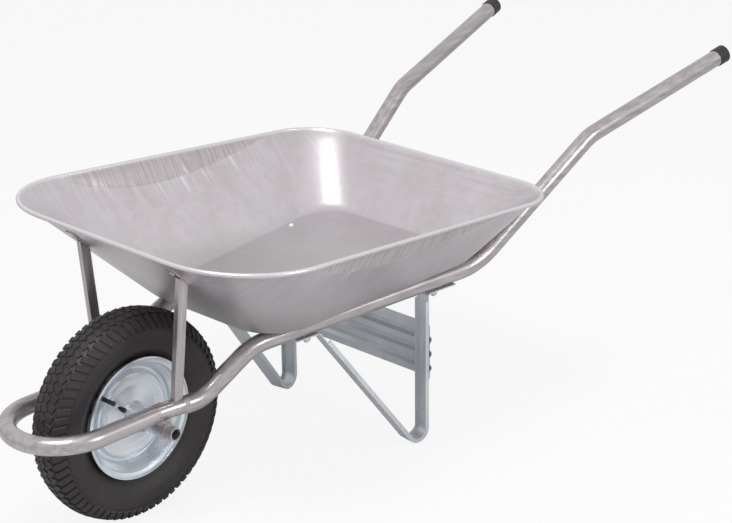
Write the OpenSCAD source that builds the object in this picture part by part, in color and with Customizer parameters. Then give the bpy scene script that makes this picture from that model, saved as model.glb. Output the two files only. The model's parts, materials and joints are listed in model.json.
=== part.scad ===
// Builder's wheelbarrow: a pressed steel tray on a bent tube frame, one pneumatic
// wheel held in a hoop at the front, two folded channel legs at the back.
// X is across the barrow (plus is the user's left), Y runs from the wheel to the
// handles, Z is up. The origin is on the ground, under the middle of the barrow.

/* [Wheel] */
// outside diameter of the tyre
tyre_od = 380; // [330:1:460]
// width of the tyre at its fattest
tyre_w = 88; // [76:1:104]
// outside diameter of the rim flanges
flange_d = 222; // [200:1:262]
// width over the two rim flanges
rim_w = 67; // [60:1:74]
// outside diameter of the hub tube
hub_od = 40; // [33:1:48]
// length of the hub tube
hub_len = 84; // [74:1:100]

/* [Axle] */
// outside diameter of the hollow axle
axle_od = 24; // [20:0.5:28]
// length of the axle from end to end
axle_len = 249; // [225:1:300]

/* [Frame tube] */
// outside diameter of the frame tube
tube_od = 32; // [26:0.5:38]
// wall of the frame tube
tube_wall = 2; // [1.5:0.1:3]
// half the distance between the hoop's two sides, on the tube centres
hoop_half = 93.5; // [78:0.5:114]
// clear space between the tyre and the front of the hoop
hoop_gap = 24.5; // [15:0.5:60]
// splay of each arm away from straight ahead, degrees
splay = 8.75; // [7:0.05:10.5]
// height of the arm's centre above the axle where the tray begins
bed_height = 104; // [90:1:125]
// slope of the run that carries the tray, degrees
bed_slope = 2.63; // [2:0.05:3.2]
// level distance from the end of the bed to the handle bend
rise_run = 278; // [230:1:334]
// slope of the rise behind the tray, degrees
rise_angle = 35; // [29:0.5:42]
// level distance from the handle bend to the handle's tip
handle_run = 360; // [300:1:432]
// slope of the handles, degrees
handle_angle = 15.3; // [12:0.1:19]

/* [Tray] */
// length of the tray's flat bottom
floor_length = 518; // [430:1:622]
// width of the tray's flat bottom at the back
floor_width = 412; // [386:1:430]
// width of the tray over its rim, at the front
rim_width = 660; // [550:1:790]
// depth of the tray at the front
depth_front = 212; // [176:1:240]
// depth of the tray at the back
depth_back = 125; // [104:1:150]
// how far the rim reaches ahead of the flat bottom
overhang_front = 214; // [182:1:250]
// how far the rim reaches behind the flat bottom
overhang_back = 85; // [73:1:106]
// thickness of the tray sheet
sheet = 1.5; // [1.2:0.1:2]
// diameter of the rolled edge
bead_d = 9; // [7.5:0.5:11]

/* [Legs and struts] */
// width of the leg channel
leg_w = 32; // [27:1:38]
// depth of the leg channel
leg_deep = 8; // [7:0.5:10]
// thickness of the leg and strut steel
strip = 2; // [1.6:0.1:2.5]
// height of the ribbed plate between the legs
brace_h = 108; // [92:1:126]
// width of each front strut, along the barrow
strut_w = 19; // [16:0.5:23]
// depth of each front strut, across the barrow
strut_deep = 10; // [8:0.5:12]

/* [Fixings] */
// bolt diameter through tray, arm and leg
bolt_d = 8; // [6:0.5:10]
// rivet diameter at the top of each strut
rivet_d = 6; // [5:0.5:7]
// outside diameter of the handle caps
cap_od = 35.4; // [34:0.2:42.5]
// length of the handle caps
cap_len = 24; // [20:1:30]

/* [Hidden] */
$fn = 96;
fit = 0.3;                       // space between mating round faces
run_fit = 0.05;                  // running space, on the radius, at the axle
tyre_r = tyre_od / 2;
tube_r = tube_od / 2;
neck_od = tube_od - 2 * tube_wall - 2 * fit;
neck_r = neck_od / 2;
sleeve_r = axle_od / 2 + fit + 3;
lift = tube_r + sleeve_r + 2;    // arm centre above the axle, at the axle
joint_y = -12;                   // where the arm's neck turns out of the hoop's line
hoop_end = joint_y - 9;         // where the hoop's tube stops
arm_x0 = hoop_half - joint_y * tan(splay);
floor_y0 = tyre_r - 8;
floor_y1 = floor_y0 + floor_length;
rim_y0 = floor_y0 - overhang_front;
rim_y1 = floor_y1 + overhang_back;
bed_y1 = floor_y1 - 17;
bed_z1 = bed_height + (bed_y1 - floor_y0) * tan(bed_slope);
bend_y = bed_y1 + rise_run;
bend_z = bed_z1 + rise_run * tan(rise_angle);
tip_y = bend_y + handle_run;
tip_z = bend_z + handle_run * tan(handle_angle);
cs = cos(splay);
// slope of the handle within the arm's own upright plane
grip_angle = atan2(tip_z - bend_z, (tip_y - bend_y) / cs);
grip_y = cs * cos(grip_angle);
cap_r = cap_od / 2;
cap_edge = 1.5;
cap_wall = 3;
front_end = tyre_r + hoop_gap + tube_od;
back_end = tip_y + (cap_r - cap_edge) * sqrt(1 - grip_y * grip_y);
mid_y = (back_end - front_end) / 2;

// bed of the tray, as an upright plane's line: under face of the sheet
function arm_z(y) = bed_height + (y - floor_y0) * tan(bed_slope);
function bed_z(y) = arm_z(y) + (tube_r + 0.08) / cos(bed_slope);
bolt_y = [floor_y0 + 112, floor_y0 + floor_length * 0.768];
leg_shift = 3;                   // the leg strip sits this far inboard of the tube
steel = [0.78, 0.77, 0.78];
zinc = [0.68, 0.73, 0.77];
dark = [0.16, 0.15, 0.15];

// ---- helpers ----

module placed() { translate([0, -mid_y, tyre_r]) children(); }

module on_side(s) { if (s > 0) children(); else mirror([1, 0, 0]) children(); }

// the upright plane of an arm: first coordinate along the ground, second up
module arm_plane(s) {
    translate([s * arm_x0, 0, 0]) rotate([0, 0, -s * splay]) rotate([90, 0, 90]) children();
}

function heading(p, i) = atan2(p[i + 1][1] - p[i][1], p[i + 1][0] - p[i][0]);
function half_turn(a) = a > 180 ? a - 360 : a < -180 ? a + 360 : a;
function turn(p, i) = half_turn(heading(p, i) - heading(p, i - 1));
function set_back(p, r, i) =
    i == 0 || i == len(p) - 1 ? 0 : r[i] * tan(abs(turn(p, i)) / 2);

// carries a flat section along a bent path in the XY plane; the section's first
// coordinate is to the left of the path and its second one is out of the plane.
// Each bend differs from the straights by a shade ($thin) and reaches a little into both.
module sweep(p, r) {
    for (i = [0 : len(p) - 2]) {
        a = heading(p, i);
        b0 = set_back(p, r, i);
        b1 = set_back(p, r, i + 1);
        $thin = 0;
        translate([p[i][0] + b0 * cos(a), p[i][1] + b0 * sin(a), 0])
            rotate([0, 0, a]) rotate([90, 0, 90])
                linear_extrude(norm(p[i + 1] - p[i]) - b0 - b1) children();
    }
    for (i = [1 : 1 : len(p) - 2]) {
        a = heading(p, i - 1);
        t = turn(p, i);
        b = set_back(p, r, i);
        s = t > 0 ? 1 : -1;
        x = p[i][0] - b * cos(a) - s * r[i] * sin(a);
        y = p[i][1] - b * sin(a) + s * r[i] * cos(a);
        more = 0.8 / r[i] * 180 / PI;
        $thin = 0.06;
        translate([x, y, 0])
            rotate([0, 0, (t > 0 ? a - 90 : a + 90 - abs(t)) - more])
                rotate_extrude(angle = abs(t) + 2 * more) translate([r[i], 0])
                    mirror([t > 0 ? 1 : 0, 0]) children();
    }
}

$thin = 0;
module ring(od, id) {
    difference() {
        circle(d = od + 2 * $thin);
        circle(d = id - 2 * $thin);
    }
}
module bar(l0, l1, z0, z1) {
    translate([l0 + $thin, z0 + $thin]) square([l1 - l0 - 2 * $thin, z1 - z0 - 2 * $thin]);
}

// a sheet of thickness t along a path of points, as an outline
function side_of(p, i) = let (
    a = p[max(i - 1, 0)], b = p[min(i + 1, len(p) - 1)], d = b - a
) [-d[1], d[0]] / norm(d);
function sheet_outline(p, t) = concat(
    [for (i = [0 : len(p) - 1]) p[i] + side_of(p, i) * t / 2],
    [for (i = [len(p) - 1 : -1 : 0]) p[i] - side_of(p, i) * t / 2]);

// turns a [radius, across] outline about the axle
module about_axle() { rotate([0, 90, 0]) rotate_extrude() children(); }

// ---- tray ----

function mix(a, b, u) = a + (b - a) * u;
floor_half = floor_width / 2;
rim_half = rim_width / 2;
corner_steps = 9;
side_steps = 6;
end_steps = 4;
// slope of the rim from front to back
rim_z0 = bed_z(floor_y0) + sheet + depth_front;
rim_z1 = bed_z(floor_y1) + sheet + depth_back;
function rim_z(y) = mix(rim_z0, rim_z1, (y - rim_y0) / (rim_y1 - rim_y0));
function floor_z(y) = bed_z(y) + sheet;

function outline(u, g) = let (
    wf = mix(floor_half - 26, rim_half, u) + g,
    wb = mix(floor_half, rim_half - 9, u) + g,
    y0 = mix(floor_y0, rim_y0, u) - g,
    y1 = mix(floor_y1, rim_y1, u) + g,
    rf = mix(92, 162, u) + g,
    rb = mix(78, 104, u) + g
) concat(
    [for (k = [0 : corner_steps]) let (a = -90 + 90 * k / corner_steps)
        [wf - rf + rf * cos(a), y0 + rf + rf * sin(a)]],
    [for (k = [1 : side_steps - 1]) let (v = k / side_steps)
        [mix(wf, wb, v), mix(y0 + rf, y1 - rb, v)]],
    [for (k = [0 : corner_steps]) let (a = 90 * k / corner_steps)
        [wb - rb + rb * cos(a), y1 - rb + rb * sin(a)]],
    [for (k = [1 : end_steps - 1]) let (v = k / end_steps)
        [mix(wb - rb, rb - wb, v), y1]],
    [for (k = [0 : corner_steps]) let (a = 90 + 90 * k / corner_steps)
        [rb - wb + rb * cos(a), y1 - rb + rb * sin(a)]],
    [for (k = [1 : side_steps - 1]) let (v = k / side_steps)
        [mix(-wb, -wf, v), mix(y1 - rb, y0 + rf, v)]],
    [for (k = [0 : corner_steps]) let (a = 180 + 90 * k / corner_steps)
        [rf - wf + rf * cos(a), y0 + rf + rf * sin(a)]],
    [for (k = [1 : end_steps - 1]) let (v = k / end_steps)
        [mix(rf - wf, wf - rf, v), y0]]);
low_ring = outline(0, 0);
top_ring = outline(1, 0);
ring_n = len(low_ring);

function ring_points(u, w, g, dz) = let (o = outline(u, g)) [
    for (i = [0 : ring_n - 1])
        [o[i][0], o[i][1],
         mix(floor_z(u <= 0 ? o[i][1] : low_ring[i][1]), rim_z(top_ring[i][1]), w) + dz]];

// the wall's section: how far out, how far up
soft = 0.09;
wall_line = concat(
    [for (u = [-soft : soft / 3 : soft + 0.001]) [u, (u + soft) * (u + soft) / (4 * soft)]],
    [[0.42, 0.42], [0.68, 0.68], [0.88, 0.88], [0.95, 0.942], [1, 0.98]]);
wall_l = rim_half - floor_half;
wall_h = depth_front;
function wall_side(i) = let (
    a = wall_line[max(i - 1, 0)],
    b = wall_line[min(i + 1, len(wall_line) - 1)],
    d = [(b[0] - a[0]) * wall_l, (b[1] - a[1]) * wall_h]
) [d[1], -d[0]] / norm(d);
bead_r = bead_d / 2;
tray_rings = concat(
    [for (i = [0 : len(wall_line) - 1])
        ring_points(wall_line[i][0], wall_line[i][1], 0, 0)],
    [for (a = [150, 115, 80, 45, 10, -25, -60, -95, -130])
        ring_points(1, 1, bead_r * cos(a) + bead_r - 1, bead_r * sin(a) - bead_r + 0.8)],
    [for (i = [len(wall_line) - 2 : -1 : 0]) let (s = wall_side(i))
        ring_points(wall_line[i][0], wall_line[i][1],
            i == 0 ? 0 : sheet * s[0], i == 0 ? -sheet : sheet * s[1])]);
mid_floor = (floor_y0 + floor_y1) / 2;
last = len(tray_rings) * ring_n;
tray_points = concat([for (q = tray_rings) for (p = q) p],
    [[0, mid_floor, floor_z(mid_floor)], [0, mid_floor, floor_z(mid_floor) - sheet]]);
tray_faces = concat(
    [for (i = [0 : ring_n - 1]) [last, (i + 1) % ring_n, i]],
    [for (j = [0 : len(tray_rings) - 2]) for (i = [0 : ring_n - 1]) let (
        a = j * ring_n + i, b = j * ring_n + (i + 1) % ring_n
    ) [a, b, a + ring_n]],
    [for (j = [0 : len(tray_rings) - 2]) for (i = [0 : ring_n - 1]) let (
        a = j * ring_n + i, b = j * ring_n + (i + 1) % ring_n
    ) [b, b + ring_n, a + ring_n]],
    [for (i = [0 : ring_n - 1]) [last + 1, last - ring_n + i, last - ring_n + (i + 1) % ring_n]]);

// stands a child on the arm's top line at distance y, square to the bed
module at_bolt(s, y) {
    on_side(s) translate([arm_x0 + y * tan(splay), y, arm_z(y)])
        rotate([bed_slope, 0, 0]) children();
}
module each_bolt() {
    for (s = [1, -1]) for (y = bolt_y) at_bolt(s, y) children();
}

// the front wall's outside face, below the rim: slope and a point on it
wall_a = [floor_y0, floor_z(floor_y0)];
wall_b = [rim_y0, rim_z(rim_y0)];
wall_tilt = atan2(wall_b[1] - wall_a[1], wall_a[0] - wall_b[0]);
function on_wall(v) = wall_a + (wall_b - wall_a) * v;
tab_v = 0.80;
strut_x = hoop_half + 31;
// origin on the outside face, local Z square to the wall and pointing out of the tray
module at_rivet(s) {
    on_side(s) translate([strut_x, on_wall(tab_v)[0], on_wall(tab_v)[1]])
        rotate([180 - wall_tilt, 0, 0]) translate([0, 0, sheet]) children();
}

module tray() color(steel) placed() difference() {
    polyhedron(points = tray_points, faces = tray_faces, convexity = 8);
    each_bolt() cylinder(d = bolt_d + 1, h = 90, center = true);
    for (s = [1, -1]) at_rivet(s) cylinder(d = rivet_d + 0.6, h = 24, center = true);
}

// ---- frame ----

module hoop() color(steel) placed() {
    y0 = -(tyre_r + hoop_gap + tube_r) + hoop_half;
    translate([0, 0, lift]) {
        translate([0, y0, 0]) rotate([0, 0, 180])
            rotate_extrude(angle = 180) translate([hoop_half, 0])
                ring(tube_od, tube_od - 2 * tube_wall);
        for (s = [1, -1]) translate([s * hoop_half, hoop_end, 0]) rotate([90, 0, 0])
            linear_extrude(hoop_end - y0) ring(tube_od, tube_od - 2 * tube_wall);
    }
}

cone_y0 = 36;
cone_y1 = 45;
arm_path = [[cone_y1 / cs, lift], [(floor_y0 - 108) / cs, lift],
    [floor_y0 / cs, bed_height], [bed_y1 / cs, bed_z1], [bend_y / cs, bend_z],
    [tip_y / cs - cap_wall * cos(grip_angle), tip_z - cap_wall * sin(grip_angle)]];
// the first bend is as soft as the straight before it allows
dip_bend = min(90, 0.85 * (arm_path[1][0] - arm_path[0][0])
    / tan(turn(arm_path, 1) / 2));
arm_bends = [0, dip_bend, 105, 150, 90, 0];

tube_id = tube_od - 2 * tube_wall;
neck_id = neck_od - 2 * tube_wall;
function arm_x(y) = arm_x0 + y * tan(splay);
module arm(s) color(steel) placed() difference() {
    union() {
        // the narrowed neck: straight inside the hoop, then turned out to the arm's line
        translate([0, 0, lift])
            sweep([[s * hoop_half, joint_y - 42], [s * hoop_half, joint_y],
                [s * arm_x(cone_y0), cone_y0]],
                [0, 60, 0]) ring(neck_od, neck_id);
        arm_plane(s) {
            translate([cone_y0 / cs, lift, 0]) rotate([0, 90, 0]) rotate_extrude()
                polygon([[neck_r + 0.06, -1], [neck_r + 0.06, 0],
                    [tube_r + 0.06, 9], [tube_r + 0.06, cone_y1 - cone_y0 + 2],
                    [tube_id / 2 - 0.06, cone_y1 - cone_y0 + 2], [tube_id / 2 - 0.06, 9],
                    [neck_id / 2 - 0.06, 0], [neck_id / 2 - 0.06, -1]]);
            sweep(arm_path, arm_bends) ring(tube_od, tube_id);
        }
    }
    for (y = bolt_y) translate([s * arm_x(y), y, arm_z(y)])
        rotate([bed_slope, 0, 0]) cylinder(d = bolt_d + 0.6, h = 90, center = true);
}
module arm_left() arm(1);
module arm_right() arm(-1);

module cap(s) color(dark) placed() arm_plane(s)
    translate([tip_y / cs, tip_z, 0]) rotate([0, 0, grip_angle]) rotate([0, -90, 0])
        difference() {
            union() {
                cylinder(r1 = cap_r - cap_edge, r2 = cap_r, h = cap_edge);
                translate([0, 0, cap_edge]) cylinder(r = cap_r, h = cap_len - cap_edge);
            }
            translate([0, 0, cap_wall]) cylinder(r = tube_r + fit / 2, h = cap_len);
        }
module cap_left() cap(1);
module cap_right() cap(-1);

// front struts: a narrow channel from the arm's neck up to the tray's front wall
strut_y = 26;
strut_foot = [arm_x0 + strut_y * tan(splay), lift + neck_r - 1.5];
strut_head_z = on_wall(0.60)[1];
strut_head_y = on_wall(0.60)[0];
module strut(s) color(steel) placed() on_side(s) difference() {
    union() {
        lean = atan2(strut_x - strut_foot[0], strut_head_z - strut_foot[1]);
        h = norm([strut_x - strut_foot[0], strut_head_z - strut_foot[1]]) + 30;
        intersection() {
            translate([strut_foot[0], strut_y, strut_foot[1]]) rotate([0, lean, 0])
                linear_extrude(h) translate([-strut_deep / 2, -strut_w / 2]) difference() {
                    square([strut_deep, strut_w]);
                    translate([-1, strip]) square([strut_deep - strip + 1, strut_w - 2 * strip]);
                }
            // cut off along the tray's front wall
            translate([0, on_wall(0.5)[0], on_wall(0.5)[1]]) rotate([180 - wall_tilt, 0, 0])
                translate([0, -200, sheet + 1.6]) cube([400, 500, 500]);
        }
        at_rivet(1) translate([-strut_deep / 2, -34, 0.02])
            cube([strut_deep + 8, 49, strip]);
    }
    // saddle over the arm's neck
    translate([arm_x0, 0, lift]) rotate([0, 0, -splay]) rotate([-90, 0, 0])
        cylinder(r = neck_r + fit / 3, h = 160, center = true);
    translate([arm_x0, 0, lift]) rotate([0, 0, -splay]) rotate([-90, 0, 0])
        translate([0, 0, cone_y0 / cs])
            cylinder(r1 = neck_r + fit / 3, r2 = tube_r + fit / 3, h = (cone_y1 - cone_y0) / cs);
    at_rivet(1) cylinder(d = rivet_d + 0.6, h = 24, center = true);
}
module strut_left() strut(1);
module strut_right() strut(-1);

module strut_rivets() color(zinc) placed() for (s = [1, -1]) at_rivet(s) {
    translate([0, 0, -sheet - 2.6]) cylinder(d = rivet_d + 6, h = 2.58);
    translate([0, 0, -sheet - 0.1]) cylinder(d = rivet_d, h = sheet + strip + 0.2);
    translate([0, 0, strip + 0.04]) cylinder(d = rivet_d + 4, h = 3);
}

// ---- axle ----

module axle() color(steel) placed() rotate([0, 90, 0]) difference() {
    cylinder(d = axle_od, h = axle_len, center = true);
    cylinder(d = axle_od - 5, h = axle_len + 2, center = true);
}

module axle_bracket(s) color(steel) placed() on_side(s) difference() {
    union() {
        translate([hoop_half + 1 - 13, 0, 0]) rotate([0, 90, 0]) cylinder(r = sleeve_r, h = 26);
        translate([hoop_half + 1 - 7, joint_y + 1, 0]) cube([14, 22, lift]);
    }
    rotate([0, 90, 0]) cylinder(r = axle_od / 2 + 0.1, h = axle_len);
    translate([arm_x0, 0, lift]) rotate([0, 0, -splay]) rotate([-90, 0, 0])
        cylinder(r = neck_r + fit / 3, h = 80, center = true);
    translate([0, joint_y - 20, lift]) cube([200, 60, 60]);
}
module axle_bracket_left() axle_bracket(1);
module axle_bracket_right() axle_bracket(-1);

bush_out = hub_len / 2 + 3;
module axle_spacer(s) color(zinc) placed() on_side(s)
    translate([bush_out + fit, 0, 0]) rotate([0, 90, 0]) difference() {
        cylinder(d = axle_od + 6, h = hoop_half - 12 - bush_out - 2 * fit);
        translate([0, 0, -1]) cylinder(d = axle_od + 0.3, h = hoop_half);
    }
module axle_spacer_left() axle_spacer(1);
module axle_spacer_right() axle_spacer(-1);

// ---- wheel ----

seat_r = flange_d / 2 - 9.5;
fat_r = tyre_r - 40;             // where the tyre is widest
half_w = tyre_w / 2;
bead_x = rim_w / 2 - 4.9;        // outside face of the tyre's bead
function crown(a, w, h) = [fat_r + h * pow(sin(a), 0.95), w * pow(cos(a), 0.95)];
side_h = 63 * (fat_r - seat_r) / 48.5;
function wall_x(r) = half_w * sqrt(1 - pow((fat_r - r) / side_h, 2));
tyre_half = concat(
    [[seat_r - 0.4, bead_x - 9], [seat_r - 0.1, bead_x - 3.2], [seat_r + 3.6, bead_x - 0.1],
     [flange_d / 2 + 0.4, bead_x], [flange_d / 2 + 0.9, bead_x + 4]],
    [for (k = [0 : 5]) let (r = mix(flange_d / 2 + 2, fat_r - 2, k / 5)) [r, wall_x(r)]],
    [for (a = [0 : 7.5 : 90]) crown(a, half_w, 40)]);
inner_half = concat(
    [for (a = [90 : -10 : 0]) crown(a, half_w - 6, 31)],
    [[mix(seat_r, fat_r, 0.72), half_w - 7], [mix(seat_r, fat_r, 0.4), half_w - 13],
     [seat_r + 5, bead_x - 9]]);
function both_sides(p, q) = concat(p,
    [for (i = [len(p) - 2 : -1 : 0]) [p[i][0], -p[i][1]]],
    [for (i = [len(q) - 1 : -1 : 0]) [q[i][0], -q[i][1]]],
    [for (i = [1 : len(q) - 1]) q[i]]);

module tyre() color(dark) placed() about_axle() polygon(both_sides(tyre_half, inner_half));

// the air tube fills the tyre, down to the rim
function tube_section(g) = let (p = concat(
    [for (a = [90 : -10 : 0]) crown(a, half_w - 6 - g, 31 - g)],
    [[mix(seat_r, fat_r, 0.72), half_w - 7 - g], [mix(seat_r, fat_r, 0.4), half_w - 13 - g],
     [seat_r + 5 + g, bead_x - 9 - g]])
) concat(p, [for (i = [len(p) - 1 : -1 : 1]) [p[i][0], -p[i][1]]]);
module inner_tube() color(dark) placed() about_axle() difference() {
    polygon(tube_section(fit));
    polygon(tube_section(fit + 2));
}

hub_r = hub_od / 2;
lip_x = rim_w / 2 - 1;
ring_r = seat_r - 22;
rim_line = [[lip_x, flange_d / 2 - 4], [lip_x - 0.4, flange_d / 2 - 1.4],
    [lip_x - 2.2, flange_d / 2 - 1.2], [lip_x - 2.7, seat_r + 3], [lip_x - 4.5, seat_r - 1],
    [lip_x - 13, seat_r - 2.4], [9, ring_r + 10], [2.6, ring_r + 8], [1, ring_r + 6],
    [1, ring_r + 1], [5, ring_r - 2], [10, ring_r - 4.5], [11, ring_r - 8],
    [9, ring_r - 15], [8, mix(hub_r, ring_r, 0.55)], [10, mix(hub_r, ring_r, 0.3)],
    [12, hub_r + 6], [15.5, hub_r + 2.2], [24, hub_r + 1], [hub_len / 2 - 6, hub_r + 1]];
// where the valve stem comes through the rim
valve_x = 13.5;
valve_a = 50;
// first coordinate straight out from the axle, second one along it
module at_valve() {
    rotate([valve_a, 0, 0]) translate([valve_x, 0, 0]) rotate([-90, -90, 0]) children();
}

module rim_half(s) color(zinc) placed() difference() {
    on_side(s) about_axle() polygon([for (q = sheet_outline(rim_line, 2)) [q[1], q[0]]]);
    if (s > 0) at_valve() rotate([0, 90, 0]) cylinder(d = 9, h = seat_r);
}
module rim_left() rim_half(1);
module rim_right() rim_half(-1);

bush_r = hub_r - 3;
module hub() color(zinc) placed() rotate([0, 90, 0]) difference() {
    cylinder(r = hub_r, h = hub_len, center = true);
    cylinder(r = bush_r, h = hub_len + 2, center = true);
}
module bush(s) color([0.75, 0.63, 0.4]) placed() on_side(s) rotate([0, 90, 0]) difference() {
    union() {
        translate([0, 0, hub_len / 2]) cylinder(r = hub_r - 0.5, h = 3);
        translate([0, 0, hub_len / 2 - 22]) cylinder(r = bush_r - 0.02, h = 22.5);
    }
    cylinder(r = axle_od / 2 + run_fit, h = hub_len);
}
module bush_left() bush(1);
module bush_right() bush(-1);

// rubber stem: out of the tube, through the rim, then square towards the user's left
valve_r = seat_r - 19.5;
valve_path = [[seat_r + 4.5, 0], [valve_r, 0], [valve_r, 27]];
module valve_stem() color(dark) placed() at_valve() difference() {
    sweep(valve_path, [0, 7, 0]) circle(d = 8 - 2 * $thin);
    translate([valve_r, 8, 0]) rotate([-90, 0, 0]) cylinder(d = 2.6, h = 20);
}
module valve_cap() color(dark) placed() at_valve()
    translate([valve_r, 27.02, 0]) rotate([-90, 0, 0]) cylinder(r1 = 4.4, r2 = 3.8, h = 3);

// ---- legs ----

leg_t = strip;
foot_r = 24;                     // outside radius of the bend at the foot
tab_z = (tube_r + 0.08) / cos(bed_slope); // arm centre down to the top of the tabs
function tab_mid(y) = arm_z(y) - tab_z - leg_t / 2;
leg_y0 = bolt_y[0] - 26;
leg_y1 = bolt_y[0] + 22;
post_y = bolt_y[1] - 20;
leg_y3 = bolt_y[1] + 44;
// the sloping limb runs from the front tab to a line touching the foot's bend
foot_mid = [post_y / cs - foot_r, -tyre_r + foot_r + leg_t / 2];
limb_top = [leg_y1 / cs, tab_mid(leg_y1)];
limb_a = atan2(foot_mid[1] - limb_top[1], foot_mid[0] - limb_top[0])
    - asin(foot_r / norm(foot_mid - limb_top));
foot_tip = [post_y / cs, limb_top[1] + (post_y / cs - limb_top[0]) * tan(limb_a)];
leg_path = [[leg_y0 / cs, tab_mid(leg_y0)], limb_top, foot_tip,
    [post_y / cs, tab_mid(post_y)], [leg_y3 / cs, tab_mid(leg_y3)]];
leg_bends = [0, 6, foot_r, 6, 0];
// the side folds run only along the two limbs
fold_path = [mix(limb_top, foot_tip, 0.07), foot_tip,
    [post_y / cs, tab_mid(post_y) - 14]];
module leg(s) color(zinc) placed() difference() {
    translate([-s * leg_shift, 0, 0]) arm_plane(s) {
        sweep(leg_path, leg_bends) bar(-leg_t / 2, leg_t / 2, -leg_w / 2, leg_w / 2);
        for (e = [1, -1]) mirror([0, 0, e > 0 ? 0 : 1]) sweep(fold_path, [0, foot_r, 0])
            bar(leg_t / 2 - 0.3, leg_deep - leg_t / 2, leg_w / 2 - leg_t, leg_w / 2 - 0.05);
    }
    for (y = bolt_y) translate([s * arm_x(y), y, arm_z(y)])
        rotate([bed_slope, 0, 0]) cylinder(d = bolt_d + 1, h = 120, center = true);
}
module leg_left() leg(1);
module leg_right() leg(-1);

// ribbed plate across the back of the two uprights
plate_t = 1.5;
plate_gap = 0.02;
brace_z = -12;
// mid point of the upright's back face, and the line of that face
back_x = arm_x0 - leg_shift + post_y * tan(splay) + (leg_t / 2 + plate_gap + plate_t / 2) * sin(splay);
back_y = post_y + (leg_t / 2 + plate_gap + plate_t / 2) * cos(splay);
flap_in = leg_w / 2 + 12;
flap_out = leg_w / 2 + 1;
knee = [back_x - flap_in * cos(splay), back_y + flap_in * sin(splay)];
tail = [back_x + flap_out * cos(splay), back_y - flap_out * sin(splay)];
rib = 13;
rib_mid = -4;
function brace_line(c) = concat([[0, c - brace_h / 2]],
    [for (k = [-1, 0, 1]) each [
        [0, rib_mid + k * rib * 2.2 - rib * 0.62], [4.5, rib_mid + k * rib * 2.2 - rib * 0.15],
        [4.5, rib_mid + k * rib * 2.2 + rib * 0.15], [0, rib_mid + k * rib * 2.2 + rib * 0.62]]],
    [[0, brace_h / 2 - c]]);
module leg_brace() color(zinc) placed() translate([0, 0, brace_z])
    sweep([[-tail[0], tail[1]], [-knee[0], knee[1]], knee, tail], [0, 30, 30, 0])
        polygon(sheet_outline(brace_line($thin), plate_t - 2 * $thin));

// ---- fixings ----

head_z = tab_z + sheet;
module tray_bolts() color(zinc) placed() each_bolt() {
    translate([0, 0, head_z + 0.02]) cylinder(r1 = bolt_d, r2 = bolt_d * 0.65, h = 4);
    translate([0, 0, -tab_z - leg_t - 12]) cylinder(d = bolt_d, h = head_z + tab_z + leg_t + 13);
}
module tray_washers() color(zinc) placed() each_bolt()
    translate([0, 0, -tab_z - leg_t - 1.62]) difference() {
        cylinder(d = bolt_d * 2.2, h = 1.6);
        translate([0, 0, -1]) cylinder(d = bolt_d + 0.6, h = 4);
    }
module tray_nuts() color(zinc) placed() each_bolt()
    translate([0, 0, -tab_z - leg_t - 1.64 - bolt_d * 0.8]) difference() {
        cylinder(r = bolt_d * 0.94, h = bolt_d * 0.8, $fn = 6);
        translate([0, 0, -1]) cylinder(d = bolt_d + 0.1, h = bolt_d + 2);
    }

tray();
hoop();
arm_left();
arm_right();
strut_left();
strut_right();
axle();
axle_bracket_left();
axle_bracket_right();
axle_spacer_left();
axle_spacer_right();
tyre();
inner_tube();
rim_left();
rim_right();
hub();
bush_left();
bush_right();
valve_stem();
valve_cap();
leg_left();
leg_right();
leg_brace();
tray_bolts();
tray_nuts();
tray_washers();
strut_rivets();
cap_left();
cap_right();
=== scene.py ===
# %% [markdown]
# # A builder's wheelbarrow
#
# The imported model brings every steel part at its true size and place. This lesson adds
# what the eye looks for next: a smooth pressed tray, a tyre with its tread, welds, and a
# finish for each metal. Everything is in metres. X runs to the user's left, Y from the wheel
# to the handles, and Z up from the ground.

# %% Load the imported model
import json
import math
import random

import bmesh
import bpy
from mathutils import Matrix, Vector


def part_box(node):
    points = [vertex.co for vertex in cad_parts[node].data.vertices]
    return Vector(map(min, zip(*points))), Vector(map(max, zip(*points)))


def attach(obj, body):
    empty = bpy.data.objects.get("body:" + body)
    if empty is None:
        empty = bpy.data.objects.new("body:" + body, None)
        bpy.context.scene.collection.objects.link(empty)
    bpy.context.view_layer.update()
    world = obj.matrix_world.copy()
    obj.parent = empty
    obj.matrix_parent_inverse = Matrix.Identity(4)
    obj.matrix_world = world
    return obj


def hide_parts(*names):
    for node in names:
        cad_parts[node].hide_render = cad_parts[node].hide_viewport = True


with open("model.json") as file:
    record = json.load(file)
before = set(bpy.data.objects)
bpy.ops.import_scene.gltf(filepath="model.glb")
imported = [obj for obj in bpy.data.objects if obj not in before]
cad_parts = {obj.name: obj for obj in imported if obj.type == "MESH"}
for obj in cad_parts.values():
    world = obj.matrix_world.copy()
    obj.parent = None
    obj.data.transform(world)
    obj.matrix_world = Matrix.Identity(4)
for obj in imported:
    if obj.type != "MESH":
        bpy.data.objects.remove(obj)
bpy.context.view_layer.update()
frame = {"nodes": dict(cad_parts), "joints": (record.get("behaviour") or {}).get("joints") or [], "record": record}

nodes = frame["nodes"]
axle = Vector(frame["joints"][0]["pos_m"])
print("parts in the model:", len(nodes), "axle at", tuple(round(c, 4) for c in axle))

# %% [markdown]
# ## Small helpers
#
# Blender's edit operators work on whatever is selected, so every piece starts from a
# clean selection, and its faces or edges are then picked by where they are. A finished
# piece keeps its place in its mesh and its object at the origin, as the model's parts do.

# %% Selecting and settling
def only(piece):
    bpy.ops.object.select_all(action="DESELECT")
    piece.select_set(True)
    bpy.context.view_layer.objects.active = piece


def named(name):
    piece = bpy.context.active_object
    piece.name = piece.data.name = name
    return piece


def settle(piece):
    only(piece)
    bpy.ops.object.transform_apply(location=True, rotation=True, scale=True)


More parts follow.
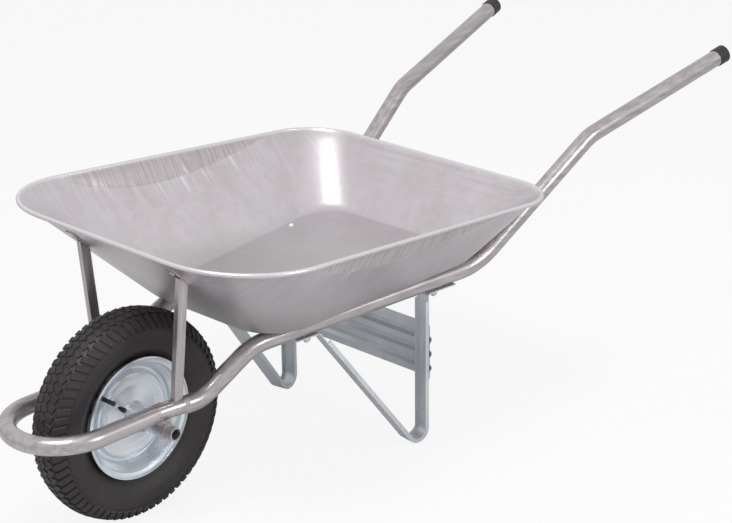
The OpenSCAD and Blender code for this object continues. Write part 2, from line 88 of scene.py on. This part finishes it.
def pick(piece, wanted, kind="FACE"):
    """Selects the faces, edges or vertices whose middle and normal pass a test."""
    only(piece)
    bpy.ops.object.mode_set(mode="EDIT")
    bpy.ops.mesh.select_mode(type=kind)
    bpy.ops.mesh.select_all(action="DESELECT")
    bm = bmesh.from_edit_mesh(piece.data)
    for part in {"FACE": bm.faces, "EDGE": bm.edges, "VERT": bm.verts}[kind]:
        if kind == "FACE":
            chosen = wanted(part.calc_center_median(), part.normal)
        elif kind == "EDGE":
            a, b = (v.co for v in part.verts)
            chosen = wanted((a + b) / 2, (b - a).normalized())
        else:
            chosen = wanted(part.co, part.normal)
        if chosen:
            part.select = True
    bm.select_flush_mode()
    bmesh.update_edit_mesh(piece.data)


def smooth(piece, degrees=35):
    only(piece)
    bpy.ops.object.shade_smooth_by_angle(angle=math.radians(degrees))


def outward(piece, gap=1e-5):
    only(piece)
    bpy.ops.object.mode_set(mode="EDIT")
    bpy.ops.mesh.select_all(action="SELECT")
    bpy.ops.mesh.remove_doubles(threshold=gap)
    bpy.ops.mesh.normals_make_consistent(inside=False)
    bpy.ops.object.mode_set(mode="OBJECT")


def apply(piece, kind, **settings):
    only(piece)
    step = piece.modifiers.new(kind.title(), kind)
    for key, value in settings.items():
        setattr(step, key, value)
    bpy.ops.object.modifier_apply(modifier=step.name)


def joined(pieces, name):
    bpy.ops.object.select_all(action="DESELECT")
    for piece in pieces:
        piece.select_set(True)
    bpy.context.view_layer.objects.active = pieces[0]
    if len(pieces) > 1:
        bpy.ops.object.join()
    return named(name)


print("helpers ready")

# %% [markdown]
# ## Writing a finish
#
# A finish is a small sum over a few patterns. Blender keeps it as a web of nodes, which is
# slow to read, so a value here is wrapped in a class that understands plus, minus and
# times. `0.4 + 0.1 * clouds` then adds its own Math nodes. Every other node comes from one
# method that is told the kind of node, its settings and what goes into its sockets.

# %% Values that add up
class Reading:
    """One value in a finish; sums on it add Math nodes."""

    def __init__(self, finish, socket):
        self.finish, self.socket = finish, socket

    def sum(self, operation, *values):
        return self.finish.node("ShaderNodeMath", {"operation": operation}, dict(enumerate(values)))

    def __add__(self, other): return self.sum("ADD", self, other)
    def __radd__(self, other): return self.sum("ADD", other, self)
    def __sub__(self, other): return self.sum("SUBTRACT", self, other)
    def __rsub__(self, other): return self.sum("SUBTRACT", other, self)
    def __mul__(self, other): return self.sum("MULTIPLY", self, other)
    def __rmul__(self, other): return self.sum("MULTIPLY", other, self)
    def __truediv__(self, other): return self.sum("DIVIDE", self, other)
    def __pow__(self, other): return self.sum("POWER", self, other)

    def step(self, low, high):
        """0 below low, 1 above high, and a soft change between them."""
        return self.finish.node("ShaderNodeMapRange", {"interpolation_type": "SMOOTHSTEP"},
                                {0: self, 1: low, 2: high, 3: 0.0, 4: 1.0})


class Finish:
    def __init__(self, name, metallic, coat=0.0):
        self.material = bpy.data.materials.new(name)
        self.material.use_nodes = True
        self.tree = self.material.node_tree
        self.shader = next(n for n in self.tree.nodes if n.type == "BSDF_PRINCIPLED")
        self.shader.inputs["Metallic"].default_value = metallic
        self.shader.inputs["Coat Weight"].default_value = coat
        place = self.tree.nodes.new("ShaderNodeTexCoord")
        self.place = Reading(self, place.outputs["Object"])

    def node(self, kind, settings, sockets, out=0):
        made = self.tree.nodes.new(kind)
        for key, value in settings.items():
            setattr(made, key, value)
        for key, value in sockets.items():
            if isinstance(value, Reading):
                self.tree.links.new(value.socket, made.inputs[key])
            else:
                made.inputs[key].default_value = value
        return Reading(self, made.outputs[out])

    def stretched(self, x, y, z):
        return self.node("ShaderNodeMapping", {}, {"Vector": self.place, "Scale": (x, y, z)})

    def noise(self, scale, detail=2.0, where=None, rough=0.5):
        return self.node("ShaderNodeTexNoise", {},
                         {"Vector": where or self.place, "Scale": scale, "Detail": detail,
                          "Roughness": rough}, out="Fac")

    def axes(self):
        split = self.tree.nodes.new("ShaderNodeSeparateXYZ")
        self.tree.links.new(self.place.socket, split.inputs[0])
        return [Reading(self, output) for output in split.outputs]

    def mix(self, factor, first, second):
        pair = [(*c, 1) if isinstance(c, tuple) else c for c in (first, second)]
        return self.node("ShaderNodeMix", {"data_type": "RGBA"},
                         {0: factor, 6: pair[0], 7: pair[1]}, out=2)

    def wear(self, colour=None, roughness=None, bump=None, height=0.001, strength=1.0):
        for name, value in (("Base Color", colour), ("Roughness", roughness)):
            if isinstance(value, Reading):
                self.tree.links.new(value.socket, self.shader.inputs[name])
            elif value is not None:
                self.shader.inputs[name].default_value = value
        if bump is not None:
            relief = self.node("ShaderNodeBump", {}, {"Strength": strength, "Distance": height,
                                                      "Height": bump})
            self.tree.links.new(relief.socket, self.shader.inputs["Normal"])
        return self.material


print("a finish can now be written as a sum")

# %% [markdown]
# ## The steel finishes
#
# Hot-dipped sheet freezes into faint crystals, the spangle, about two centimetres across.
# Where the sheet was drawn over the press's edge, near the rim, it is scored with fine
# lines that run down the wall. Cell noise gives the crystals. Noise squeezed along Y alone
# changes quickly along the wall and hardly at all down it, and so it gives the scoring.

# %% Galvanised sheet
# how the rim's height falls from front to back, and the band that the press bent up
rim_fall = -0.0774
rim_at_middle = 0.5236 + rim_fall * 0.5717
band_start, band_long, band_deep = 0.14 + axle.y, 0.51, 0.044


def galvanised_sheet():
    f = Finish("galvanised_sheet", 0.75)
    bent = f.node("ShaderNodeMix", {"data_type": "VECTOR"},
                  {0: 0.03, 4: f.place, 5: f.node("ShaderNodeTexNoise", {}, {
                      "Vector": f.place, "Scale": 30.0}, out="Color")}, out=1)
    cell = f.node("ShaderNodeTexVoronoi", {}, {"Vector": bent, "Scale": 62.0}, out="Color")
    crystal = f.node("ShaderNodeSeparateColor", {}, {0: cell})
    cloud = f.noise(4.5, 3.0)
    patch = f.noise(19.0, 2.0)
    grain = f.noise(520.0, 2.0)
    scored = f.noise(1.0, 3.0, f.stretched(5, 300, 5))
    folds = f.noise(1.0, 1.0, f.stretched(3, 62, 3))
    x, y, z = f.axes()
    under = rim_at_middle + rim_fall * y - z
    along = f.node("ShaderNodeMapRange", {}, {0: y, 1: band_start, 2: band_start + band_long})
    swell = f.node("ShaderNodeMath", {"operation": "SINE"}, {0: math.pi * along ** 0.72})
    side = f.node("ShaderNodeMath", {"operation": "ABSOLUTE"}, {0: x}).step(0.20, 0.24)
    below_band = under - band_deep * swell ** 0.8
    band = side * (1.0 - below_band.step(-0.0012, 0.0012)) * along.step(0.0, 0.06)
    # just under the band, the press left short upright folds; their bump is real, and their paler colour is a
    # painted highlight
    fold = folds.step(0.60, 0.70) * side * below_band.step(-0.004, 0.004)
    fold = fold * (1.0 - below_band.step(0.008, 0.034)) * along.step(0.08, 0.2)
    fold = fold * (1.0 - along.step(0.85, 1.0))
    drawn = 1.0 - under.step(0.0, 0.10)
    edge = 1.0 - under.step(0.0, 0.007)
    mark = (0.45 * drawn + 0.55 * band) * scored.step(0.40, 0.68)
    tone = 0.62 * cloud + 0.12 * crystal + 0.26 * patch
    colour = f.mix(tone.step(0.25, 0.75), (0.60, 0.555, 0.575), (0.70, 0.665, 0.695))
    # painted reflection: the floor and the lowest part of the walls, deepest under the rim, are painted a darker
    # grey
    colour = f.mix(0.7 * under.step(0.12, 0.19), colour, (0.42, 0.425, 0.415))
    # painted shade: the pressed band, turned away from the light, is painted darker
    colour = f.mix(0.35 * band, colour, (0.40, 0.345, 0.355))
    colour = f.mix(0.55 * mark, colour, (0.33, 0.285, 0.295))
    # painted highlight: the folds are painted paler
    colour = f.mix(0.7 * fold, colour, (0.86, 0.85, 0.88))
    # painted highlight: the rolled edge, within 7 mm of the rim, is painted pale
    colour = f.mix(0.8 * edge, colour, (0.86, 0.84, 0.87))
    shine = 0.30 + 0.07 * cloud + 0.03 * crystal + 0.12 * mark - 0.12 * edge - 0.08 * fold
    relief = 0.35 * grain + 0.6 * mark + 0.05 * crystal + 3.0 * fold
    return f.wear(colour, shine, relief, 0.0005, 0.4)


# %% [markdown]
# The frame tube is drawn through a die and welded along its length, so its marks run along
# it. Its light and dark streaks are partly those marks and partly painted reflections of a
# studio, and they run along it too. Nearly all of it runs along Y, and the noise is stretched
# that way. Zinc plating is smoother and bluer, and on the wheel it follows the rings of the
# pressing.

# %% Tube, plate and rim
def drawn_tube(name, x, y, z):
    f = Finish(name, 0.8)
    lines = f.noise(1.0, 2.0, f.stretched(x, y, z))
    cloud = f.noise(14.0, 3.0)
    speck = f.noise(160.0, 2.0)
    # partly drawing marks, partly painted reflection: light and dark streaks along the tube
    colour = f.mix(lines.step(0.3, 0.75), (0.43, 0.395, 0.405), (0.57, 0.535, 0.55))
    colour = f.mix(0.3 * cloud.step(0.45, 0.75), colour, (0.46, 0.42, 0.42))
    colour = f.mix(0.3 * speck.step(0.66, 0.78), colour, (0.30, 0.27, 0.27))
    return f.wear(colour, 0.20 + 0.12 * cloud + 0.05 * lines, lines, 0.0002, 0.15)


def blue_zinc():
    f = Finish("blue_zinc", 0.55)
    cloud = f.noise(9.0, 3.0)
    lines = f.noise(1.0, 2.0, f.stretched(60, 60, 12))
    speck = f.noise(240.0, 2.0)
    colour = f.mix(cloud.step(0.3, 0.7), (0.60, 0.645, 0.69), (0.75, 0.785, 0.82))
    colour = f.mix(0.3 * lines.step(0.5, 0.8), colour, (0.84, 0.86, 0.88))
    return f.wear(colour, 0.26 + 0.14 * cloud + 0.05 * speck, speck, 0.0004, 0.2)


def rim_zinc():
    f = Finish("rim_zinc", 0.70)
    x, y, z = f.axes()
    dy, dz = y - axle.y, z - axle.z
    out = (dy * dy + dz * dz) ** 0.5
    rings = f.node("ShaderNodeTexNoise", {"noise_dimensions": "1D"},
                   {"W": out, "Scale": 420.0, "Detail": 2.0}, out="Fac")
    cloud = f.noise(11.0, 3.0)
    colour = f.mix(cloud.step(0.3, 0.7), (0.62, 0.67, 0.73), (0.78, 0.82, 0.86))
    colour = f.mix(0.25 * rings.step(0.4, 0.7), colour, (0.84, 0.87, 0.90))
    return f.wear(colour, 0.20 + 0.12 * cloud + 0.05 * rings, rings, 0.0002, 0.2)


def bolt_zinc():
    f = Finish("bolt_zinc", 0.9)
    speck = f.noise(300.0, 2.0)
    cloud = f.noise(40.0, 2.0)
    colour = f.mix(cloud, (0.48, 0.50, 0.52), (0.72, 0.74, 0.75))
    return f.wear(colour, 0.25 + 0.2 * speck, speck, 0.0002, 0.3)


def greasy_bronze():
    f = Finish("greasy_bronze", 0.8)
    cloud = f.noise(60.0, 3.0)
    colour = f.mix(cloud, (0.30, 0.22, 0.12), (0.55, 0.42, 0.24))
    return f.wear(colour, 0.35 + 0.2 * cloud, cloud, 0.0002, 0.2)


def weld_steel():
    f = Finish("weld_steel", 0.55)
    speck = f.noise(120.0, 3.0)
    cloud = f.noise(45.0, 2.0)
    colour = f.mix(cloud.step(0.35, 0.65), (0.36, 0.33, 0.32), (0.22, 0.155, 0.125))
    colour = f.mix(0.5 * speck.step(0.6, 0.75), colour, (0.10, 0.075, 0.065))
    return f.wear(colour, 0.42 + 0.2 * speck, speck, 0.0005, 0.5)


# %% [markdown]
# Rubber is never black: it is a dark brown grey, a little lighter where it has rubbed. The
# same recipe, with a different grain, does for the tyre, the valve and the plastic caps.

# %% Rubber and plastic
def dark_stuff(name, deep, pale, grain, shine):
    f = Finish(name, 0.0)
    cloud = f.noise(16.0, 3.0)
    fine = f.noise(grain, 3.0)
    colour = f.mix(0.6 * cloud.step(0.35, 0.75) + 0.25 * fine, deep, pale)
    return f.wear(colour, shine + 0.14 * fine, fine, 0.0004, 0.35)


tyre_rubber = dark_stuff("tyre_rubber", (0.017, 0.013, 0.0145), (0.040, 0.032, 0.035), 420.0, 0.44)
valve_rubber = dark_stuff("valve_rubber", (0.018, 0.016, 0.017), (0.04, 0.036, 0.036), 500.0, 0.45)
cap_plastic = dark_stuff("cap_plastic", (0.022, 0.018, 0.02), (0.05, 0.043, 0.046), 700.0, 0.38)
finishes = {
    "galvanised": galvanised_sheet(), "tube": drawn_tube("drawn_tube", 120, 3, 120),
    "zinc_plate": blue_zinc(),
    "rim_zinc": rim_zinc(), "fixings": bolt_zinc(), "bush_bronze": greasy_bronze(),
    "tyre": tyre_rubber, "valve_rubber": valve_rubber, "cap_plastic": cap_plastic,
}
for part in frame["record"]["subparts"]:
    piece = nodes[part["node"]]
    piece.data.materials.clear()
    piece.data.materials.append(finishes[part["material_slot"]])
weld_finish = weld_steel()
upright_strip = drawn_tube("upright_strip", 120, 120, 3)
cross_tube = drawn_tube("cross_tube", 3, 120, 120)
for name, finish in (("strut_left", upright_strip), ("strut_right", upright_strip),
                     ("axle", cross_tube), ("axle_bracket_left", cross_tube),
                     ("axle_bracket_right", cross_tube)):
    nodes[name].data.materials[0] = finish
print("finishes:", len(finishes) + 1)


def wearing(piece, slot, body, finish=None):
    """Gives a new piece its finish and lets it move with a body of the model."""
    piece.data.materials.clear()
    piece.data.materials.append(finish or finishes[slot])
    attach(piece, body)
    print(piece.name, len(piece.data.polygons), "faces")
    return piece


# %% [markdown]
# ## The tray
#
# A tray is one sheet pressed into a bowl with rounded corners, its edge rolled over a wire.
# It could be cut from a block, but its walls are only a millimetre and a half thick. It is
# easier to grow it: start from a ring of points laid on the bottom's outline, extrude the
# ring again and again, and move each new ring to the next station up the wall, round the
# rolled edge and down the outside.

# %% The tray's outline
floor_ends, rim_ends = (0.182, 0.700), (-0.032, 0.785)


def between(a, b, u):
    return a + (b - a) * u


def tray_outline(u, grown):
    """Points round the tray, u of the way from the bottom's outline to the rim's."""
    front = between(0.180, 0.330, u) + grown
    back = between(0.206, 0.321, u) + grown
    y0 = between(floor_ends[0], rim_ends[0], u) - grown
    y1 = between(floor_ends[1], rim_ends[1], u) + grown
    r0, r1 = between(0.092, 0.162, u) + grown, between(0.078, 0.104, u) + grown
    half = [(between(0, front - r0, k / 8), y0) for k in range(8)]
    half += [(front - r0 + r0 * math.sin(a), y0 + r0 - r0 * math.cos(a))
             for a in (math.pi / 2 * k / 12 for k in range(12))]
    half += [(between(front, back, k / 56), between(y0 + r0, y1 - r1, k / 56)) for k in range(56)]
    half += [(back - r1 + r1 * math.cos(a), y1 - r1 + r1 * math.sin(a))
             for a in (math.pi / 2 * k / 12 for k in range(12))]
    half += [(between(back - r1, 0, k / 8), y1) for k in range(9)]
    return half + [(-x, y) for x, y in reversed(half[1:-1])]


floor_line = tray_outline(0, 0)
rim_line = tray_outline(1, 0)
round_count = len(rim_line)
print("points round the tray:", round_count)

# %% Stations up the wall and round the rolled edge
soft, sheet, bead = 0.09, 0.0015, 0.0045


def floor_height(y):
    return 0.1216 + (y - floor_ends[0]) * math.tan(math.radians(2.63))


def rim_height(y):
    return between(0.3336, 0.2704, (y - rim_ends[0]) / (rim_ends[1] - rim_ends[0]))


wall = [(u, (u + soft) ** 2 / (4 * soft)) for u in (soft * k / 3 for k in range(-3, 4))]
wall += [(u, u) for u in (0.18, 0.30, 0.42, 0.54, 0.64, 0.72, 0.78, 0.83, 0.88)]
wall += [(0.95, 0.942), (1.0, 0.98)]


def skin(i):
    """How far the outer skin stands off, outwards and down."""
    (u0, w0), (u1, w1) = wall[max(i - 1, 0)], wall[min(i + 1, len(wall) - 1)]
    out, up = (u1 - u0) * 0.124, (w1 - w0) * 0.212
    return sheet * up / math.hypot(out, up), -sheet * out / math.hypot(out, up)


stations = [(u, w, 0, 0) for u, w in wall]
stations += [(1, 1, bead * math.cos(a) + bead - 0.001, bead * math.sin(a) - bead + 0.0008)
             for a in (math.radians(d) for d in (150, 115, 80, 45, 10, -25, -60, -95, -130))]
stations += [(*wall[i], *skin(i)) for i in range(len(wall) - 2, 0, -1)]
stations += [(*wall[0], 0, -sheet)]
print("stations:", len(stations))

# %% Pressing marks
bead_deep = 0.010    # the rolled edge itself keeps its shape this far down
creases = ((0.230, 0.8), (0.292, 1.0), (0.366, 0.7), (0.425, 1.5), (0.480, 0.6), (0.600, 0.4),
           (0.635, 0.5), (0.665, 0.4))


def pressed(x, y, under):
    """How far the press pushed the wall outwards, for a point some way under the rim."""
    along = (y - (band_start - axle.y)) / band_long
    if abs(x) < 0.15 or not 0 < along < 1.05:
        return 0.0
    depth = band_deep * math.sin(math.pi * min(1, along) ** 0.72) ** 0.8
    fold = 0.0
    free = under - bead_deep
    if depth > bead_deep + 0.002:
        t = free / (depth - bead_deep)
        fade = t if t < 1 else math.exp(-((under - depth) / 0.030) ** 1.4)
        fold = 0.0085 * fade * min(1, (depth - bead_deep) / 0.020)
    for at, deep in creases:
        away = (y - at - 0.16 * (under - depth)) / 0.0046
        tall = (under - depth - 0.010) / (0.024 if deep > 1.2 else 0.015)
        fold -= deep * 0.0021 * math.exp(-away * away - tall * tall) * min(1, free / 0.010)
    return fold


print("creases in each side:", len(creases))

# %% Grow the tray
def station_point(k, station):
    u, w, grown, lift = station
    x, y = tray_outlines[u, grown][k]
    foot = floor_height(floor_line[k][1] if u > 0 else y)
    return Vector((x, y, between(foot, rim_height(rim_line[k][1]), w) + lift))


tray_outlines = {(s[0], s[2]): tray_outline(s[0], s[2]) for s in stations}
bpy.ops.object.select_all(action="DESELECT")
bpy.ops.mesh.primitive_circle_add(vertices=round_count, radius=0.3)
tray = named("pressed_tray")
mark = tray.data.attributes.new("order", "INT", "POINT")
mark.data.foreach_set("value", range(round_count))
bpy.ops.object.mode_set(mode="EDIT")
bpy.ops.mesh.select_mode(type="EDGE")
bpy.ops.mesh.select_all(action="SELECT")
for number, station in enumerate(stations):
    if number:
        bpy.ops.mesh.extrude_edges_move()
    bm = bmesh.from_edit_mesh(tray.data)
    order = bm.verts.layers.int["order"]
    for v in bm.verts:
        if v.select:
            v.co = station_point(v[order], station)
    bmesh.update_edit_mesh(tray.data)
bpy.ops.mesh.edge_face_add()
bpy.ops.mesh.inset(thickness=0.03)
bpy.ops.mesh.select_all(action="DESELECT")
bpy.ops.mesh.select_mode(type="EDGE")
bpy.ops.mesh.select_non_manifold()
bpy.ops.mesh.edge_face_add()
bpy.ops.mesh.inset(thickness=0.03)
bpy.ops.object.mode_set(mode="OBJECT")
outward(tray, 1e-6)
apply(tray, "SUBSURF", levels=1, render_levels=1)

# %% Press the marks into both skins
bm = bmesh.new()
bm.from_mesh(tray.data)
for v in bm.verts:
    under = rim_height(v.co.y) - v.co.z
    if under > bead_deep:
        v.co.x += math.copysign(pressed(v.co.x, v.co.y, under), v.co.x)
bm.to_mesh(tray.data)
bm.free()
tray.data.transform(Matrix.Translation(axle))
tray.data.attributes.remove(tray.data.attributes["order"])
smooth(tray, 50)
wearing(tray, "galvanised", "frame")
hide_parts("tray")
lo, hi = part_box("tray")
print("tray over its rolled edge:", [round(d, 4) for d in tray.dimensions],
      "model", [round(d, 4) for d in hi - lo])

# %% [markdown]
# ## The tyre
#
# A tyre is a ring, so its carcass is spun: a rounded section is drawn once, as a circle
# pulled into shape, and turned about the axle. The tread is then laid on top in blocks: a
# zigzag rib round the middle, and a row of slanted bars on each shoulder that reach a
# little way down the side. One of each is modelled and copied round the tyre.

# %% Spin the carcass
tyre_r, fat_r, half_w, tread = 0.190, 0.150, 0.044, 0.0026
bead_x = 0.0286


def carcass_point(angle):
    """The section's outline: angle 0 is out on the +X side, 90 degrees is the crown."""
    c, s = math.cos(angle), math.sin(angle)
    if s >= 0:
        return Vector((math.copysign(abs(c) ** 0.95, c) * (half_w - 0.0015), 0,
                       fat_r + (tyre_r - tread - fat_r) * s ** 0.95))
    down = -s
    wide = between(half_w - 0.0015, bead_x, max(0, down - 0.05) ** 1.6)
    return Vector((math.copysign(abs(c) ** 0.35, c) * wide, 0, fat_r - 0.0382 * down ** 0.9
                   - 0.0105 * max(0, down - 0.8) / 0.2))


bpy.ops.object.select_all(action="DESELECT")
bpy.ops.mesh.primitive_circle_add(vertices=72, radius=0.04)
carcass = named("tyre_carcass")
for v in carcass.data.vertices:
    v.co = carcass_point(math.atan2(v.co.y, v.co.x))
only(carcass)
bpy.ops.object.mode_set(mode="EDIT")
bpy.ops.mesh.select_all(action="SELECT")
bpy.ops.mesh.spin(steps=120, angle=2 * math.pi, center=(0, 0, 0), axis=(1, 0, 0))
bpy.ops.object.mode_set(mode="OBJECT")
outward(carcass)

# %% Faint rings on the side walls
bm = bmesh.new()
bm.from_mesh(carcass.data)
for v in bm.verts:
    r = math.hypot(v.co.y, v.co.z)
    for ring_r, high, wide in ((0.1215, 0.0011, 0.0013), (0.1395, 0.0008, 0.0015)):
        v.co.x += math.copysign(high * math.exp(-((r - ring_r) / wide) ** 2), v.co.x)
bm.to_mesh(carcass.data)
bm.free()
carcass.data.transform(Matrix.Translation(axle))
smooth(carcass, 50)
wearing(carcass, "tyre", "wheel")

# %% One shoulder bar, one rib block
def tread_block(size, bite, name):
    bpy.ops.object.select_all(action="DESELECT")
    bpy.ops.mesh.primitive_cube_add(size=1, scale=size)
    block = named(name)
    settle(block)
    pick(block, lambda mid, way: way.z > 0.9)
    bpy.ops.transform.resize(value=(bite, bite, 1))
    bpy.ops.mesh.bevel(offset=0.0007, segments=1)
    bpy.ops.object.mode_set(mode="OBJECT")
    return block


def on_crown(x):
    """Height of the carcass above the axle, a distance x from the middle."""
    c = min(1.0, abs(x) / (half_w - 0.0015)) ** (1 / 0.95)
    return fat_r + (tyre_r - tread - fat_r) * math.sqrt(max(0, 1 - c * c)) ** 0.95


def lay(block, x, tilt, skew, turn):
    """A copy of a block on the tyre, x across it, skewed, and turned about the axle."""
    copy = block.copy()
    copy.data = block.data.copy()
    bpy.context.collection.objects.link(copy)
    down = on_crown(x)
    copy.data.transform(
        Matrix.Translation(axle) @ Matrix.Rotation(turn, 4, "X")
        @ Matrix.Translation((x, 0, down)) @ Matrix.Rotation(tilt, 4, "Y")
        @ Matrix.Rotation(skew, 4, "Z"))
    return copy


bar = tread_block((0.0260, 0.0116, 0.0042), 0.92, "shoulder_bar")
rib = tread_block((0.0128, 0.0122, 0.0040), 0.92, "rib_block")
laid = []
bars_round = 70
for k in range(bars_round):
    turn = 2 * math.pi * k / bars_round
    for side in (1, -1):
        shift = 0.0 if side > 0 else math.pi / bars_round
        laid.append(lay(bar, side * 0.0335, side * math.radians(50), side * math.radians(20),
                        turn + shift))
        laid.append(lay(rib, side * 0.0150, side * math.radians(13), side * math.radians(-22),
                        turn + shift))
    zigzag = math.radians(30 if k % 2 else -30)
    laid.append(lay(rib, 0.0, 0.0, zigzag, turn + 0.5 * math.pi / bars_round))
for source in (bar, rib):
    bpy.data.objects.remove(source)
blocks = joined(laid, "tyre_tread")
smooth(blocks, 30)
wearing(blocks, "tyre", "wheel")
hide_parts("tyre")
print("blocks laid:", len(laid))

# %% [markdown]
# ## Welds
#
# The hoop, the long tubes, the struts and the axle's brackets are joined by hand with an
# electric arc. The bead it leaves is a row of overlapping drops. Each drop is a small
# ball laid along the seam, and a remesh melts the row into one bead.

# %% Lay a bead along a seam
def weld_bead(name, path, thick, seed):
    """Drops along a path of points, in metres from the axle's centre."""
    chance = random.Random(seed)
    drops = []
    for a, b in zip(path, path[1:]):
        a, b = Vector(a), Vector(b)
        count = max(1, round((b - a).length / (thick * 0.75)))
        for k in range(count):
            stray = Vector([chance.uniform(-0.15, 0.15) * thick for _ in range(3)])
            at = a.lerp(b, k / count) + stray
            bpy.ops.object.select_all(action="DESELECT")
            bpy.ops.mesh.primitive_ico_sphere_add(
                subdivisions=2, radius=thick * chance.uniform(0.85, 1.2), location=axle + at)
            drops.append(bpy.context.active_object)
    bead = joined(drops, name)
    settle(bead)
    apply(bead, "REMESH", mode="VOXEL", voxel_size=0.0008)
    smooth(bead, 80)
    wearing(bead, "tube", "frame", weld_finish)
    return bead


# %% The seams on both sides
# the neck's height over the axle and its radius up to the welds, and how it splays outwards
lift, neck_r, splay = 0.0333, 0.0137, math.radians(8.75)
neck_middle, splay_start = 0.0935, -0.012
strut_front, strut_back = 0.016, 0.036


def neck_x(y):
    """The middle of the neck, a distance y behind the axle."""
    if y < splay_start:
        return neck_middle
    return neck_middle + (y - splay_start) * math.tan(splay)


for side, word in ((1, "left"), (-1, "right")):
    top = [(side * (neck_x(y) - 0.003), y, lift + neck_r - 0.0002)
           for y in (-0.022, -0.010, 0.002, 0.013)]
    weld_bead("weld_top_" + word, top, 0.0030, 3)
    foot = [(side * (neck_x(strut_front) + across), 0.0155, lift + neck_r - 0.001)
            for across in (-0.006, 0.006)]
    back = [(side * (neck_x(strut_back) + across), 0.0362, lift + neck_r - 0.001)
            for across in (-0.005, 0.007)]
    weld_bead("weld_strut_front_" + word, foot, 0.0021, 5)
    weld_bead("weld_strut_back_" + word, back, 0.0021, 7)
    for edge, tag in ((0.0078, "outer"), (-0.0068, "inner")):
        seam = [(side * (0.0945 + edge), y, lift - neck_r + 0.0022) for y in (-0.009, 0.0, 0.009)]
        weld_bead("weld_gusset_%s_%s" % (tag, word), seam, 0.0017, 11)

# %% [markdown]
# ## Floor, light and camera
#
# The barrow stands on a plain white floor in soft light: a bright world and two large
# lamps. The camera stands low at the front left with a long lens.

# %% Floor
def studio_floor():
    bpy.ops.object.select_all(action="DESELECT")
    bpy.ops.mesh.primitive_plane_add(size=40)
    ground = named("studio_floor")
    f = Finish("floor_white", 0.0)
    f.wear((0.92, 0.92, 0.92, 1), 0.9)
    f.shader.inputs["Specular IOR Level"].default_value = 0.1
    # the camera sees the floor mostly glowing white, and the rest of it takes the shadows
    seen = f.tree.nodes.new("ShaderNodeLightPath")
    glow = f.tree.nodes.new("ShaderNodeEmission")
    glow.inputs["Strength"].default_value = 1.0
    blend = f.tree.nodes.new("ShaderNodeMixShader")
    half = f.node("ShaderNodeMath", {"operation": "MULTIPLY"},
                  {0: Reading(f, seen.outputs["Is Camera Ray"]), 1: 0.87})
    f.tree.links.new(half.socket, blend.inputs[0])
    f.tree.links.new(f.shader.outputs[0], blend.inputs[1])
    f.tree.links.new(glow.outputs[0], blend.inputs[2])
    end = next(n for n in f.tree.nodes if n.type == "OUTPUT_MATERIAL")
    f.tree.links.new(blend.outputs[0], end.inputs["Surface"])
    ground.data.materials.append(f.material)


studio_floor()

# %% World and lamps
world = bpy.data.worlds.new("studio")
bpy.context.scene.world = world
world.use_nodes = True
sky = world.node_tree
sky.nodes.clear()
path = sky.nodes.new("ShaderNodeLightPath")
seen = sky.nodes.new("ShaderNodeMath")
seen.operation = "MAXIMUM"
sky.links.new(path.outputs["Is Camera Ray"], seen.inputs[0])
sky.links.new(path.outputs["Is Glossy Ray"], seen.inputs[1])
both = sky.nodes.new("ShaderNodeMath")
both.operation = "MAXIMUM"
sky.links.new(seen.outputs[0], both.inputs[0])
sky.links.new(path.outputs["Is Transmission Ray"], both.inputs[1])
level = sky.nodes.new("ShaderNodeMapRange")
level.inputs["To Min"].default_value = 0.58
level.inputs["To Max"].default_value = 1.0
sky.links.new(both.outputs[0], level.inputs["Value"])
air = sky.nodes.new("ShaderNodeBackground")
sky.links.new(level.outputs[0], air.inputs["Strength"])
result = sky.nodes.new("ShaderNodeOutputWorld")
sky.links.new(air.outputs[0], result.inputs[0])


def lamp(name, where, towards, size, power):
    data = bpy.data.lights.new(name, "AREA")
    data.shape, data.size, data.energy = "DISK", size, power
    thing = bpy.data.objects.new(name, data)
    thing.location = where
    thing.rotation_euler = (Vector(towards) - Vector(where)).to_track_quat("-Z", "Y").to_euler()
    bpy.context.collection.objects.link(thing)


lamp("key_lamp", (0.5, -1.5, 3.0), (0, 0, 0.3), 1.2, 42)
lamp("side_lamp", (3.0, 0.6, 2.0), (0, 0, 0.3), 1.0, 20)

# %% Camera
view = bpy.data.cameras.new("view")
view.lens, view.sensor_width = 97.46, 36
camera = bpy.data.objects.new("view", view)
camera.location = (2.4284, -2.4771, 1.6732)
camera.rotation_euler = [math.radians(a) for a in (68.573, 0.567, 43.572)]
bpy.context.collection.objects.link(camera)
bpy.context.scene.camera = camera
bpy.context.scene.view_settings.view_transform = "Standard"
